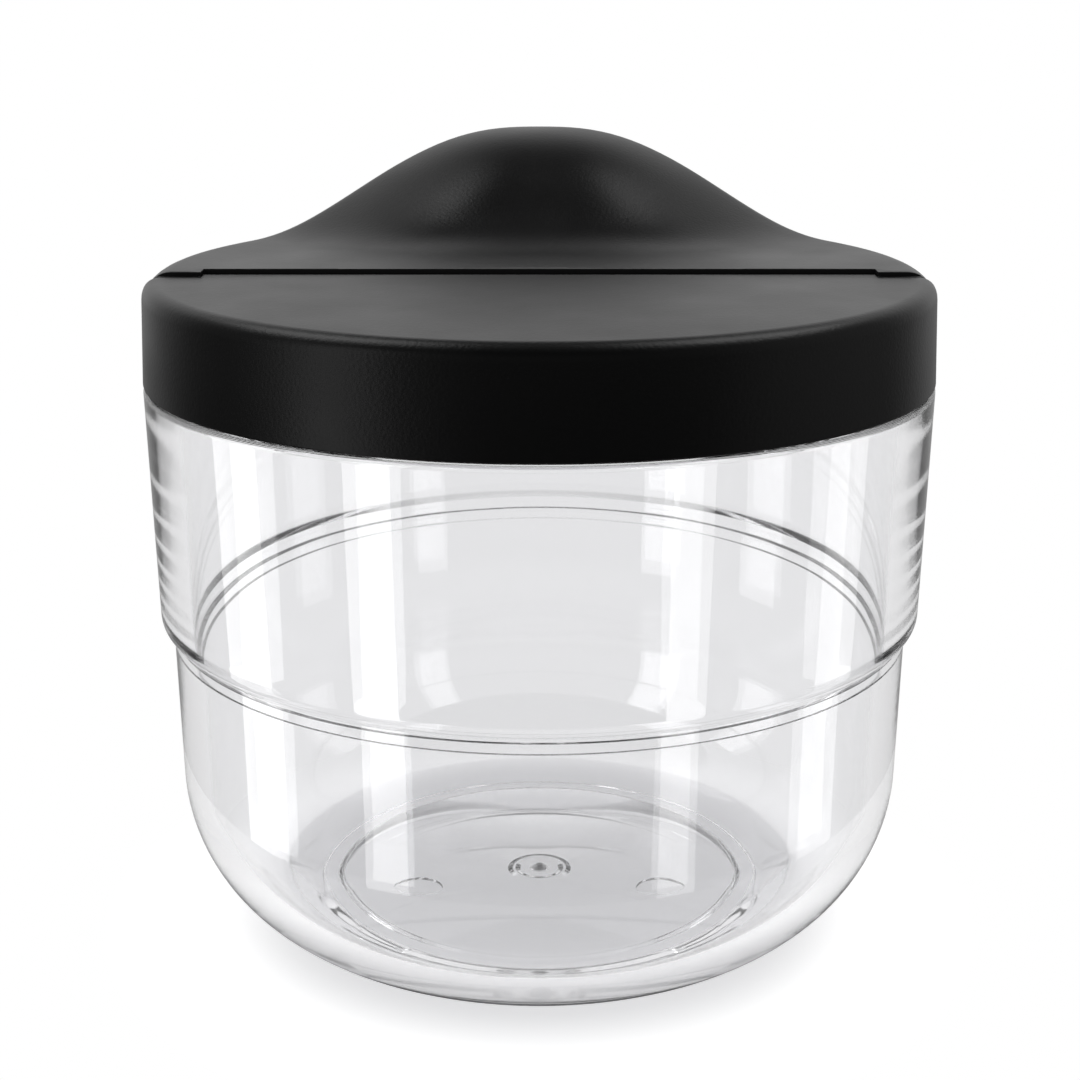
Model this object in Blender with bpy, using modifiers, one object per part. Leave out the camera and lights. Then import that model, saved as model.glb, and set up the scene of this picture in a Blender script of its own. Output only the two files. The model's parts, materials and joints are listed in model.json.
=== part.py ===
"""Clear food jar with a black press-on cap and a hump-backed pouring flap.

Metres, +Z up. The jar stands on the XY plane with its axis on Z. The front faces -Y and the flap's hump is at
+Y. The cap presses over the jar's neck. Its rear half carries the flap, which swings up about a hinge axis
that runs along X just in front of the middle.
"""

import math

import bmesh
import bpy
from mathutils import Matrix

MM = 0.001

# Clearances
SEAT_GAP = 0.3 * MM
SWING_GAP = 0.35 * MM
PIN_GAP = 0.1 * MM

# Cap
CAP_RADIUS = 60.0 * MM
CAP_TAPER = 0.57 * MM
SKIRT_HEIGHT = 15.3 * MM
SKIRT_WALL = 1.6 * MM
RIM_ROUND = 2.56 * MM
DECK_WALL = 2.2 * MM
SEAT_DEPTH = 2.9 * MM
SEAT_WALL = 2.5 * MM
PLUG_RING_WALL = 1.6 * MM
PLUG_RING_DEPTH = 6.8 * MM
PLUG_RING_BEAD = 0.7 * MM
GASKET_THICKNESS = 1.5 * MM
GASKET_BODY = 0.8 * MM
GASKET_LIPS = 3
GASKET_LIP_EDGE = 0.25 * MM

# Hinge
HINGE_OFFSET = 4.15 * MM
BARREL_RADIUS = 1.8 * MM
EAR_RADIUS = 2.0 * MM
EAR_NOSE = 0.95 * MM
PIN_RADIUS = 0.75 * MM
PIN_LENGTH = 12.0 * MM
PIN_IN_EAR = 5.3 * MM
EAR_LENGTH = 8.8 * MM
BEAM_WIDTH = 4.4 * MM
PIN_SLOT_LENGTH = 14.0 * MM

# Flap
FLAP_PROUD = 0.55 * MM
FLAP_WALL = 2.0 * MM
FLAP_EDGE_WALL = 1.8 * MM
FLAP_RIM_ROUND = 4.2 * MM
HOLLOW_ROUND = 0.6 * MM
HUMP_HEIGHT = 16.5 * MM
HUMP_HALF_ANGLE = math.radians(59.5)
HUMP_SLOPE = math.radians(56.0)
HUMP_FOOT_ROUND = 16.0 * MM
HUMP_CREST_ROUND = 11.0 * MM
HUMP_BACK_ROUND = 5.4 * MM
PLUG_DEPTH = 4.3 * MM
PLUG_WALL = 1.4 * MM
PLUG_LIP_HEIGHT = 1.9 * MM
PLUG_LIP = 0.6 * MM
SEAL_THICKNESS = 0.9 * MM
OPENING_CORNER = 7.0 * MM

# Jar
BODY_HEIGHT = 88.9 * MM
NECK_WALL = 1.6 * MM
SHOULDER_ROUND = 0.8 * MM
UPPER_TAPER = 0.83 * MM
UPPER_BORE_TAPER = 1.5 * MM
STEP_HEIGHT = 50.9 * MM
STEP_INSET = 1.84 * MM
STEP_ROUND = 2.2 * MM
LOWER_TAPER = 0.47 * MM
LOWER_WALL = 3.9 * MM
BORE_STEP_HEIGHT = 48.6 * MM
BORE_STEP_LENGTH = 2.2 * MM
CORNER_RADIUS = 27.3 * MM
FLOOR_WALL = 3.2 * MM
FLOOR_ROUND = 4.0 * MM
FOOT_RADIUS = 36.0 * MM
FOOT_WIDTH = 2.6 * MM
FOOT_EDGE = 0.2 * MM
RECESS_DEPTH = 4.3 * MM
RECESS_DRAFT = 1.0 * MM
GATE_RADIUS = 5.2 * MM
GATE_DEPTH = 0.5 * MM

# Facets
TURN_STEPS = 64
CORNER_STEPS = 5
ROD_STEPS = 32
PIN_STEPS = 16
GRID = 0.0001 * MM
SIDES = ((-1, "left"), (1, "right"))

# Heights and radii that follow
DECK_Z = BODY_HEIGHT + SKIRT_HEIGHT
SEAT_Z = DECK_Z - SEAT_DEPTH
CHANNEL_Z = SEAT_Z - SEAT_WALL
FLAP_TOP_Z = DECK_Z + FLAP_PROUD
FLAP_BASE_Z = SEAT_Z + SEAT_GAP
RIM_RADIUS = CAP_RADIUS - CAP_TAPER
SKIRT_BORE = RIM_RADIUS - SKIRT_WALL
NECK_RADIUS = SKIRT_BORE - SEAT_GAP
NECK_BORE = NECK_RADIUS - NECK_WALL
GASKET_RADIUS = NECK_BORE - SEAT_GAP
PLUG_RING_RADIUS = GASKET_RADIUS - GASKET_THICKNESS - SEAT_GAP
PLUG_RING_BORE = PLUG_RING_RADIUS - PLUG_RING_WALL
PLUG_RING_Z = CHANNEL_Z - PLUG_RING_DEPTH
HINGE_Z = DECK_Z - BARREL_RADIUS
HINGE_POINT = (0, -HINGE_OFFSET, HINGE_Z)
EAR_SWING_RADIUS = math.hypot(EAR_NOSE, FLAP_TOP_Z - HINGE_Z)
EAR_POCKET_RADIUS = max(EAR_RADIUS, EAR_SWING_RADIUS) + SWING_GAP
EAR_X = RIM_RADIUS - EAR_LENGTH
BARREL_X = EAR_X - SEAT_GAP
FLAP_FRONT_Y = BARREL_RADIUS + SWING_GAP - HINGE_OFFSET
FLAP_FRONT_BACK_Y = FLAP_FRONT_Y + FLAP_EDGE_WALL
PIN_END = EAR_X + PIN_IN_EAR
PIN_START = PIN_END - PIN_LENGTH
PLUG_INSET = 2 * SEAT_GAP + SEAL_THICKNESS
OPENING_Y = FLAP_FRONT_BACK_Y + 2 * SEAT_GAP - PLUG_INSET
OPENING_RADIUS = PLUG_RING_BORE - SEAT_GAP
FAR = 4 * CAP_RADIUS


def arc(centre_u, centre_v, radius, start, end, steps):
    """Points on an arc in a plane, both ends included, with angles in degrees from its first axis."""
    points = []
    for index in range(steps + 1):
        angle = math.radians(start + (end - start) * index / steps)
        points.append((centre_u + radius * math.cos(angle), centre_v + radius * math.sin(angle)))
    return points


def slope(low, high, steps):
    """Points on a smooth S from one point to another, upright at both ends."""
    points = []
    for index in range(steps + 1):
        share = index / steps
        across = (1 - math.cos(math.pi * share)) / 2
        points.append((low[0] + (high[0] - low[0]) * across, low[1] + (high[1] - low[1]) * share))
    return points


def new_material(name, colour, roughness, alpha=1.0, transmission=0.0):
    material = bpy.data.materials.new(name)
    material.use_nodes = True
    shader = material.node_tree.nodes["Principled BSDF"]
    shader.inputs["Base Color"].default_value = (*colour, 1.0)
    shader.inputs["Roughness"].default_value = roughness
    shader.inputs["Metallic"].default_value = 0.0
    shader.inputs["Alpha"].default_value = alpha
    shader.inputs["Transmission Weight"].default_value = transmission
    return material


def collect(obj, collection, material=None):
    """Moves an object to its collection and gives it its material."""
    for owner in list(obj.users_collection):
        owner.objects.unlink(obj)
    collection.objects.link(obj)
    if material is not None:
        obj.data.materials.clear()
        obj.data.materials.append(material)
    return obj


def object_from_bmesh(name, mesh_builder):
    mesh = bpy.data.meshes.new(name)
    mesh_builder.to_mesh(mesh)
    mesh_builder.free()
    obj = bpy.data.objects.new(name, mesh)
    bpy.context.scene.collection.objects.link(obj)
    return obj


def hide_cutter(obj, collection):
    collect(obj, collection)
    obj.hide_render = True
    obj.display_type = "WIRE"
    return obj


def turned(name, outline, closed=False):
    """A profile in the XZ plane turned about Z. It runs down its outer side."""
    builder = bmesh.new()
    verts = [builder.verts.new((x, 0, z)) for x, z in outline]
    for first, second in zip(verts, verts[1:]):
        builder.edges.new((first, second))
    if closed:
        builder.edges.new((verts[-1], verts[0]))
    obj = object_from_bmesh(name, builder)
    screw = obj.modifiers.new("Turn", "SCREW")
    screw.steps = TURN_STEPS
    screw.render_steps = TURN_STEPS
    screw.use_merge_vertices = True
    screw.merge_threshold = 0.00001
    screw.use_smooth_shade = True
    return obj


def applied(obj):
    """Replaces an object by its evaluated mesh in world space.

    The vertices lie on a fine grid, so that faces that are meant to share a plane do so exactly.
    """
    bpy.context.view_layer.update()
    evaluated = obj.evaluated_get(bpy.context.evaluated_depsgraph_get())
    mesh = bpy.data.meshes.new_from_object(evaluated)
    mesh.transform(obj.matrix_world)
    builder = bmesh.new()
    builder.from_mesh(mesh)
    for vert in builder.verts:
        vert.co = [round(value / GRID) * GRID for value in vert.co]
    bmesh.ops.remove_doubles(builder, verts=builder.verts, dist=2 * GRID)
    bmesh.ops.dissolve_degenerate(builder, dist=GRID, edges=builder.edges)
    builder.to_mesh(mesh)
    builder.free()
    name = obj.name
    bpy.data.objects.remove(obj)
    solid = bpy.data.objects.new(name, mesh)
    bpy.context.scene.collection.objects.link(solid)
    return solid


def prism(name, outline, low, high, along="Z"):
    """A flat outline, filled and extruded along an axis: (x, y) points along Z, or (y, z) points along X."""
    curve = bpy.data.curves.new(name, "CURVE")
    curve.dimensions = "2D"
    curve.fill_mode = "BOTH"
    curve.extrude = (high - low) / 2
    spline = curve.splines.new("POLY")
    spline.points.add(len(outline) - 1)
    for point, (u, v) in zip(spline.points, outline):
        point.co = (u, v, 0, 1)
    spline.use_cyclic_u = True
    obj = bpy.data.objects.new(name, curve)
    middle = (low + high) / 2
    if along == "X":
        obj.rotation_euler = (math.pi / 2, 0, math.pi / 2)
        obj.location = (middle, 0, 0)
    else:
        obj.location = (0, 0, middle)
    bpy.context.scene.collection.objects.link(obj)
    return applied(obj)


def box(name, low, high):
    bpy.ops.mesh.primitive_cube_add(size=1)
    obj = bpy.context.object
    obj.name = name
    obj.location = [(a + b) / 2 for a, b in zip(low, high)]
    obj.scale = [b - a for a, b in zip(low, high)]
    return applied(obj)


def hinge_rod(name, radius, start_x, end_x, steps=ROD_STEPS):
    """A cylinder along X on the hinge axis."""
    bpy.ops.mesh.primitive_cylinder_add(
        radius=radius,
        depth=end_x - start_x,
        vertices=steps,
        location=((start_x + end_x) / 2, -HINGE_OFFSET, HINGE_Z),
        rotation=(0, math.pi / 2, 0),
    )
    obj = bpy.context.object
    obj.name = name
    return applied(obj)


def boolean(obj, operation, *others):
    """Cuts, joins or trims an object with others, and keeps the result as its mesh."""
    for other in others:
        modifier = obj.modifiers.new(other.name, "BOOLEAN")
        modifier.operation = operation
        modifier.solver = "EXACT"
        modifier.object = other
    solid = applied(obj)
    for other in others:
        hide_cutter(other, cutters)
    return solid


def finish(obj, material, origin=(0, 0, 0), sharp_degrees=35):
    """Sets a piece's origin, shades it smooth up to its real edges and files it with the model."""
    obj.data.transform(Matrix.Translation([-value for value in origin]))
    obj.location = origin
    obj.data.shade_smooth()
    obj.data.set_sharp_from_angle(angle=math.radians(sharp_degrees))
    return collect(obj, model, material)


def half_moon(inset):
    """The pouring opening's outline, a half disc with rounded corners, moved in on every side."""
    radius = OPENING_RADIUS - inset
    corner = OPENING_CORNER - inset
    corner_y = OPENING_Y + inset + corner
    corner_x = math.sqrt((radius - corner) ** 2 - corner_y**2)
    join = math.degrees(math.atan2(corner_y, corner_x))
    points = arc(0, 0, radius, join, 180 - join, TURN_STEPS // 2)
    points += arc(-corner_x, corner_y, corner, 180 - join, 270, CORNER_STEPS)[1:]
    points += arc(corner_x, corner_y, corner, -90, join, CORNER_STEPS)[:-1]
    return points


def make_jar():
    """The clear jar: one turned wall with a neck, a step, a round bottom corner and a foot ring."""
    shoulder_z = BODY_HEIGHT - SEAT_GAP
    rim_z = CHANNEL_Z - SEAT_GAP
    rim_round = NECK_WALL / 2
    step_radius = CAP_RADIUS - UPPER_TAPER
    lower_radius = step_radius - STEP_INSET
    corner_radius = lower_radius - LOWER_TAPER
    corner_centre = corner_radius - CORNER_RADIUS
    foot_angle = -math.degrees(math.acos((FOOT_RADIUS - corner_centre) / CORNER_RADIUS))
    step_angle = -math.degrees(math.acos((STEP_ROUND - STEP_INSET) / STEP_ROUND))
    foot_inner = FOOT_RADIUS - FOOT_WIDTH
    floor_z = RECESS_DEPTH + FLOOR_WALL
    bore_corner = CORNER_RADIUS - LOWER_WALL
    round_z = floor_z + FLOOR_ROUND
    round_angle = -math.degrees(math.asin((CORNER_RADIUS - round_z) / (bore_corner - FLOOR_ROUND)))
    round_x = corner_centre + (bore_corner - FLOOR_ROUND) * math.cos(math.radians(round_angle))
    ledge_low = (lower_radius - LOWER_WALL, BORE_STEP_HEIGHT - BORE_STEP_LENGTH / 2)
    ledge_high = (NECK_BORE - UPPER_BORE_TAPER, BORE_STEP_HEIGHT + BORE_STEP_LENGTH / 2)

    outline = [(0, floor_z)]
    outline += arc(round_x, round_z, FLOOR_ROUND, -90, round_angle, 3)
    outline += arc(corner_centre, CORNER_RADIUS, bore_corner, round_angle, 0, 6)[1:]
    outline += slope(ledge_low, ledge_high, 4)
    outline += arc(NECK_RADIUS - rim_round, rim_z - rim_round, rim_round, 180, 0, 4)
    outline += [(NECK_RADIUS, shoulder_z)]
    outline += arc(CAP_RADIUS - SHOULDER_ROUND, shoulder_z - SHOULDER_ROUND, SHOULDER_ROUND, 90, 0, 2)
    outline += arc(step_radius - STEP_ROUND, STEP_HEIGHT + STEP_ROUND, STEP_ROUND, 0, step_angle, 4)
    outline += arc(corner_centre, CORNER_RADIUS, CORNER_RADIUS, 0, foot_angle, 8)
    outline += [(FOOT_RADIUS, FOOT_EDGE), (FOOT_RADIUS - FOOT_EDGE, 0), (foot_inner, 0)]
    outline += [(foot_inner - RECESS_DRAFT, RECESS_DEPTH), (GATE_RADIUS, RECESS_DEPTH)]
    outline += [(GATE_RADIUS - GATE_DEPTH, RECESS_DEPTH + GATE_DEPTH), (0, RECESS_DEPTH + GATE_DEPTH)]
    return finish(applied(turned("jar", outline)), clear)


def round_side(radius, start, end):
    """An arc about the hinge axis as (y, z) points."""
    steps = max(1, round(abs(end - start) * ROD_STEPS / 360))
    return arc(-HINGE_OFFSET, HINGE_Z, radius, start, end, steps)


def make_cap():
    """The black cap: skirt, front deck, plug ring and the rear seat with its half-moon pouring opening."""
    bead = PLUG_RING_RADIUS + PLUG_RING_BEAD
    outline = [(0, DECK_Z)]
    outline += arc(RIM_RADIUS - RIM_ROUND, DECK_Z - RIM_ROUND, RIM_ROUND, 90, 0, 5)
    outline += [(CAP_RADIUS, BODY_HEIGHT), (CAP_RADIUS - SKIRT_WALL, BODY_HEIGHT), (SKIRT_BORE, CHANNEL_Z)]
    outline += [(PLUG_RING_RADIUS, CHANNEL_Z), (PLUG_RING_RADIUS, PLUG_RING_Z + 2 * PLUG_RING_BEAD)]
    outline += [(bead, PLUG_RING_Z + 1.5 * PLUG_RING_BEAD), (bead, PLUG_RING_Z + PLUG_RING_BEAD)]
    outline += [(PLUG_RING_RADIUS, PLUG_RING_Z), (PLUG_RING_BORE, PLUG_RING_Z)]
    outline += [(PLUG_RING_BORE, CHANNEL_Z), (0, CHANNEL_Z)]
    cap = applied(turned("lid_cap", outline))

    barrel = round_side(BARREL_RADIUS, 90, 0)
    over = tuple(2 * a - b for a, b in zip(barrel[0], barrel[1]))
    behind = [(barrel[-1][0], SEAT_Z), (FAR, SEAT_Z), (FAR, FAR), (over[0], FAR), over]
    cuts = [prism("cut_rear_seat", barrel + behind, -FAR, FAR, along="X")]
    below = CHANNEL_Z - DECK_WALL
    cuts.append(prism("cut_opening", half_moon(0), below, SEAT_Z + SEAT_GAP))
    ceiling = DECK_Z - DECK_WALL
    under = [(0, ceiling), (OPENING_RADIUS, ceiling), (OPENING_RADIUS, below), (0, below)]
    beam = box("cut_under_deck_back", (-FAR, -HINGE_OFFSET - BEAM_WIDTH, 0), (FAR, FAR, FAR))
    cuts.append(boolean(applied(turned("cut_under_deck", under)), "DIFFERENCE", beam))

    slot_radius = PIN_RADIUS + 1.5 * PIN_GAP
    slot = arc(-HINGE_OFFSET, HINGE_Z, slot_radius, 180, 0, ROD_STEPS // 2)
    slot += [(slot_radius - HINGE_OFFSET, below), (-slot_radius - HINGE_OFFSET, below)]
    pocket = round_side(EAR_POCKET_RADIUS, 180, 360)
    pocket += [(pocket[-1][0], FAR), (pocket[0][0], FAR)]
    for side, word in SIDES:
        ends = sorted((side * BARREL_X, side * FAR))
        cuts.append(prism(f"cut_ear_pocket_{word}", pocket, *ends, along="X"))
        slot_end = PIN_START - PIN_GAP
        ends = sorted((side * (slot_end - PIN_SLOT_LENGTH), side * slot_end))
        cuts.append(prism(f"cut_pin_slot_{word}", slot, *ends, along="X"))
        ends = sorted((side * (slot_end - PIN_GAP), side * (BARREL_X + SEAT_GAP)))
        cuts.append(hinge_rod(f"cut_pin_bore_{word}", PIN_RADIUS + PIN_GAP, *ends))
    return finish(boolean(cap, "DIFFERENCE", *cuts), black)


def hump_section(foot_round, crest_round):
    """The hump's middle section as (radius, rise) points: a foot arc, a straight slope and a crest arc."""
    turn = 1 - math.cos(HUMP_SLOPE)
    straight = (HUMP_HEIGHT - (foot_round + crest_round) * turn) / math.sin(HUMP_SLOPE)
    crest_r = RIM_RADIUS - HUMP_BACK_ROUND
    foot_r = crest_r - (foot_round + crest_round) * math.sin(HUMP_SLOPE) - straight * math.cos(HUMP_SLOPE)
    slope_degrees = math.degrees(HUMP_SLOPE)
    foot = arc(foot_r, foot_round, foot_round, -90, slope_degrees - 90, 5)
    crest = arc(crest_r, HUMP_HEIGHT - crest_round, crest_round, slope_degrees + 90, 90, 5)
    return foot + crest


def hump_share(angle):
    """The share of the hump's full height at an angle from the rear, falling smoothly to none at its ends."""
    t = min(1.0, abs(angle) / HUMP_HALF_ANGLE)
    return 1 - t**3 * (10 - 15 * t + 6 * t**2)


def flap_section(angle, inset, floor_z):
    """One radial section of the flap's skin as (radius, height) points, from its flat middle to a floor."""
    wall = FLAP_WALL if inset else 0
    edge = FLAP_EDGE_WALL if inset else 0
    share = hump_share(angle)
    top = FLAP_TOP_Z - wall
    outer = RIM_RADIUS - edge
    low_round = HOLLOW_ROUND if inset else FLAP_RIM_ROUND
    rim_round = low_round + (HUMP_BACK_ROUND - edge - low_round) * share
    shoulder = outer - rim_round
    hump = hump_section(HUMP_FOOT_ROUND + wall, HUMP_CREST_ROUND - wall)
    foot_r, crest_r = hump[0][0], hump[-1][0]
    stretch = (shoulder - foot_r) / (crest_r - foot_r)
    points = [(foot_r + (radius - foot_r) * stretch, top + share * rise) for radius, rise in hump]
    points += arc(shoulder, points[-1][1] - rim_round, rim_round, 90, 0, 4)[1:]
    points.append((outer, floor_z))
    return points


def flap_form(name, inset):
    """A closed loft of the flap's sections all the way round: its outside, or the hollow within its walls."""
    builder = bmesh.new()
    floor_z = HINGE_Z - 2 * EAR_RADIUS
    top = builder.verts.new((0, 0, FLAP_TOP_Z - (FLAP_WALL if inset else 0)))
    base = builder.verts.new((0, 0, floor_z))
    rings = []
    for step in range(TURN_STEPS):
        angle = 2 * math.pi * step / TURN_STEPS
        from_rear = math.remainder(angle - math.pi / 2, 2 * math.pi)
        section = flap_section(from_rear, inset, floor_z)
        rings.append([builder.verts.new((r * math.cos(angle), r * math.sin(angle), z)) for r, z in section])
    for ring, following in zip(rings, rings[1:] + rings[:1]):
        builder.faces.new((top, ring[0], following[0]))
        builder.faces.new((base, following[-1], ring[-1]))
        for index in range(len(ring) - 1):
            builder.faces.new((ring[index], ring[index + 1], following[index + 1], following[index]))
    bmesh.ops.recalc_face_normals(builder, faces=builder.faces)
    return applied(object_from_bmesh(name, builder))


def make_flap_shell():
    """The flap's outer moulding: a half disc with the hump at its rear and a hinge ear at each end."""
    shell = box("flap_shell", (-FAR, FLAP_FRONT_Y, FLAP_BASE_Z), (FAR, FAR, FAR))
    knuckle = round_side(EAR_RADIUS, 180 - math.degrees(math.acos(EAR_NOSE / EAR_RADIUS)), 315)
    back_y = FLAP_FRONT_Y + SWING_GAP
    back_z = knuckle[-1][1] + back_y - knuckle[-1][0]
    knuckle += [(back_y, back_z), (back_y, FAR / 2 + DECK_Z), (knuckle[0][0], FAR / 2 + DECK_Z)]
    ears = []
    for side, word in SIDES:
        ends = sorted((side * EAR_X, side * (FAR + PIN_LENGTH)))
        ears.append(prism(f"add_ear_{word}", knuckle, *ends, along="X"))
    shell = boolean(shell, "UNION", *ears)
    shell = boolean(shell, "INTERSECT", flap_form("trim_flap", False))
    front = box("cut_hollow_front", (-FAR, -FAR, 0), (FAR, FLAP_FRONT_BACK_Y, FAR))
    cuts = [boolean(flap_form("cut_hollow", True), "DIFFERENCE", front)]
    for side, word in SIDES:
        ends = sorted((side * (EAR_X - SEAT_GAP), side * (PIN_END + PIN_GAP)))
        cuts.append(hinge_rod(f"cut_ear_bore_{word}", PIN_RADIUS + PIN_GAP, *ends))
    return finish(boolean(shell, "DIFFERENCE", *cuts), black, HINGE_POINT)


def make_flap_base():
    """The flap's under-plate: a flange that closes the hollow shell and a shallow plug for the opening."""
    flange_top = FLAP_TOP_Z - FLAP_WALL - SEAT_GAP
    plug_z = SEAT_Z - PLUG_DEPTH
    radius = RIM_RADIUS - FLAP_EDGE_WALL - SEAT_GAP
    start = math.degrees(math.asin((FLAP_FRONT_BACK_Y + SEAT_GAP) / radius))
    base = prism("flap_base", arc(0, 0, radius, start, 180 - start, TURN_STEPS // 2), FLAP_BASE_Z, flange_top)
    plug = prism("add_plug", half_moon(PLUG_INSET), plug_z, (FLAP_BASE_Z + flange_top) / 2)
    lip = prism("add_plug_lip", half_moon(PLUG_INSET - PLUG_LIP), plug_z, plug_z + PLUG_LIP_HEIGHT)
    base = boolean(base, "UNION", plug, lip)
    hollow = prism("cut_plug", half_moon(PLUG_INSET + PLUG_WALL), plug_z + PLUG_WALL, flange_top + FAR)
    return finish(boolean(base, "DIFFERENCE", hollow), grey, HINGE_POINT)


def make_flap_seal():
    """The soft half-moon ring that the plug wears, which wipes the opening's edge."""
    low = SEAT_Z - PLUG_DEPTH + PLUG_LIP_HEIGHT + SEAT_GAP
    ring = prism("flap_seal", half_moon(SEAT_GAP), low, SEAT_Z)
    bore = prism("cut_seal", half_moon(SEAT_GAP + SEAL_THICKNESS), low - FAR, SEAT_Z + FAR)
    return finish(boolean(ring, "DIFFERENCE", bore), silicone, HINGE_POINT)


def make_gasket():
    """The cap's ribbed sealing ring, which grips the inside of the neck."""
    bore = GASKET_RADIUS - GASKET_THICKNESS
    body = bore + GASKET_BODY
    top = CHANNEL_Z - SEAT_GAP
    bottom = PLUG_RING_Z + 2 * PLUG_RING_BEAD + SEAT_GAP
    pitch = (top - bottom) / GASKET_LIPS
    outline = [(bore, top)]
    for lip in range(GASKET_LIPS):
        lip_top = top - lip * pitch
        middle = lip_top - pitch / 2
        outline.append((body, lip_top))
        outline.append((GASKET_RADIUS, middle + GASKET_LIP_EDGE / 2))
        outline.append((GASKET_RADIUS, middle - GASKET_LIP_EDGE / 2))
    outline += [(body, bottom), (bore, bottom)]
    return finish(applied(turned("lid_gasket", outline, closed=True)), silicone)


def make_pins():
    """The two hinge pins, pushed outwards through the barrel into the ears."""
    for side, word in SIDES:
        ends = sorted((side * PIN_START, side * PIN_END))
        finish(hinge_rod(f"hinge_pin_{word}", PIN_RADIUS, *ends, PIN_STEPS), steel)


for item in list(bpy.data.objects):
    bpy.data.objects.remove(item)
model = bpy.data.collections.new("food_jar")
cutters = bpy.data.collections.new("cutters")
for made in (model, cutters):
    bpy.context.scene.collection.children.link(made)
cutters.hide_render = True

clear = new_material("clear_copolyester", (0.95, 0.95, 0.97), 0.04, alpha=0.35, transmission=1.0)
black = new_material("black_polypropylene", (0.013, 0.013, 0.014), 0.42)
grey = new_material("dark_polypropylene", (0.03, 0.03, 0.032), 0.5)
silicone = new_material("translucent_silicone", (0.62, 0.63, 0.64), 0.55)
steel = new_material("stainless_pin", (0.62, 0.62, 0.63), 0.3)

make_jar()
make_cap()
make_gasket()
make_pins()
make_flap_shell()
make_flap_base()
make_flap_seal()
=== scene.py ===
import json
import math

import bmesh
import bpy
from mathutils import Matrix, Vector


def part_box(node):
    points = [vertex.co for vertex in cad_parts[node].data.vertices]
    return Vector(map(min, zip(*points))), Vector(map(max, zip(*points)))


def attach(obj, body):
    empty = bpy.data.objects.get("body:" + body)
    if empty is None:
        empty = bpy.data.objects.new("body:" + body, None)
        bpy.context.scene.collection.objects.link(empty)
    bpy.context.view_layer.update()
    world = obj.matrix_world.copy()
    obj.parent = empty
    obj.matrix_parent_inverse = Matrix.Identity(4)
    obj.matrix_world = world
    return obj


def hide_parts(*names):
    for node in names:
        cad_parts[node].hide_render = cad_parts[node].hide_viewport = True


# The looks of a clear food jar with a black press-on lid and a hump-backed pouring flap
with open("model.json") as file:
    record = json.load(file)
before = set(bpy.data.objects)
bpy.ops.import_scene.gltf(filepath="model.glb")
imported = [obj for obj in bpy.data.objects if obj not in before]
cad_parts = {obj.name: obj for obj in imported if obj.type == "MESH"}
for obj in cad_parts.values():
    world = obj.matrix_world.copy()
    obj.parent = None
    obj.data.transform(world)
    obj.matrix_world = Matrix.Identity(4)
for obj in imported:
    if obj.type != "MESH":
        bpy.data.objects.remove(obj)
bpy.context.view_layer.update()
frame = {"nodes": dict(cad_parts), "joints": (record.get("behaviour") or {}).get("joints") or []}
MM = 0.001

# Sizes read from the frame
cap_low, cap_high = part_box("lid_cap")
jar_low, jar_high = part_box("jar")
flap_low, flap_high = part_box("flap_shell")
base_low, base_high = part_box("flap_base")
seal_low, seal_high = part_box("flap_seal")
gasket_low, gasket_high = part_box("lid_gasket")
pin_low, pin_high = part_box("hinge_pin_right")
hinge = next(joint for joint in frame["joints"] if joint["name"] == "flap_hinge")
HINGE_Y, HINGE_Z = hinge["pos_m"][1], hinge["pos_m"][2]

# Clearances
SEAT_GAP = 0.3 * MM
SWING_GAP = 0.35 * MM
PIN_GAP = 0.1 * MM

# Cap
CAP_RADIUS = cap_high.x
BODY_Z = cap_low.z
DECK_Z = cap_high.z
RIM_RADIUS = flap_high.y
RIM_ROUND = 2.56 * MM
SKIRT_WALL = 1.6 * MM
SKIRT_EDGE = 0.35 * MM
DECK_WALL = 2.2 * MM
CHANNEL_Z = jar_high.z + SEAT_GAP
SEAT_Z = seal_high.z
NECK_BORE = gasket_high.x + SEAT_GAP
GASKET_THICKNESS = 1.5 * MM
GASKET_BODY = 0.8 * MM
GASKET_RIBS = 3
PLUG_RING_RADIUS = gasket_high.x - GASKET_THICKNESS - SEAT_GAP
PLUG_RING_WALL = 1.6 * MM
PLUG_RING_DEPTH = 6.8 * MM
PLUG_RING_Z = CHANNEL_Z - PLUG_RING_DEPTH
PLUG_RING_BEAD = 0.7 * MM
MOULDED_EDGE = 0.2 * MM

# Hinge
BARREL_RADIUS = DECK_Z - HINGE_Z
BEAM_WIDTH = 4.4 * MM
EAR_RADIUS = HINGE_Z - flap_low.z
EAR_NOSE = 0.95 * MM
EAR_END_DEGREES = 315.0
EAR_X = 50.63 * MM
EAR_BORE_X = pin_high.x + PIN_GAP
PIN_RADIUS = pin_high.z - HINGE_Z
PIN_SLOT_START = pin_low.x - PIN_GAP
PIN_SLOT_LENGTH = 14.0 * MM

# Flap
FLAP_PROUD = 0.55 * MM
FLAP_TOP_Z = DECK_Z + FLAP_PROUD
FLAP_BASE_Z = SEAT_Z + SEAT_GAP
FLAP_FRONT_Y = HINGE_Y + BARREL_RADIUS + SWING_GAP
FLAP_WALL = 2.0 * MM
FLAP_EDGE_WALL = 1.8 * MM
FLAP_RIM_ROUND = 4.2 * MM
HOLLOW_ROUND = 0.6 * MM
HUMP_HEIGHT = flap_high.z - FLAP_TOP_Z
HUMP_HALF_ANGLE = math.radians(59.5)
HUMP_FULLNESS = 0.90
HUMP_SLOPE = math.radians(40.0)
HUMP_FOOT_ROUND = 24.0 * MM
HUMP_CREST_ROUND = 34.0 * MM
HUMP_BACK_ROUND = 5.4 * MM
HUMP_SLOPE_POINTS = (0.33, 0.67)
HUMP_RULE_SIZES = (
    "Flat Top", "Floor", "Hump Height", "Half Angle", "Fullness",
    "Foot Radius", "Crest Radius", "Rim Radius", "Low Rim Round", "Back Rim Round",
)
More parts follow.
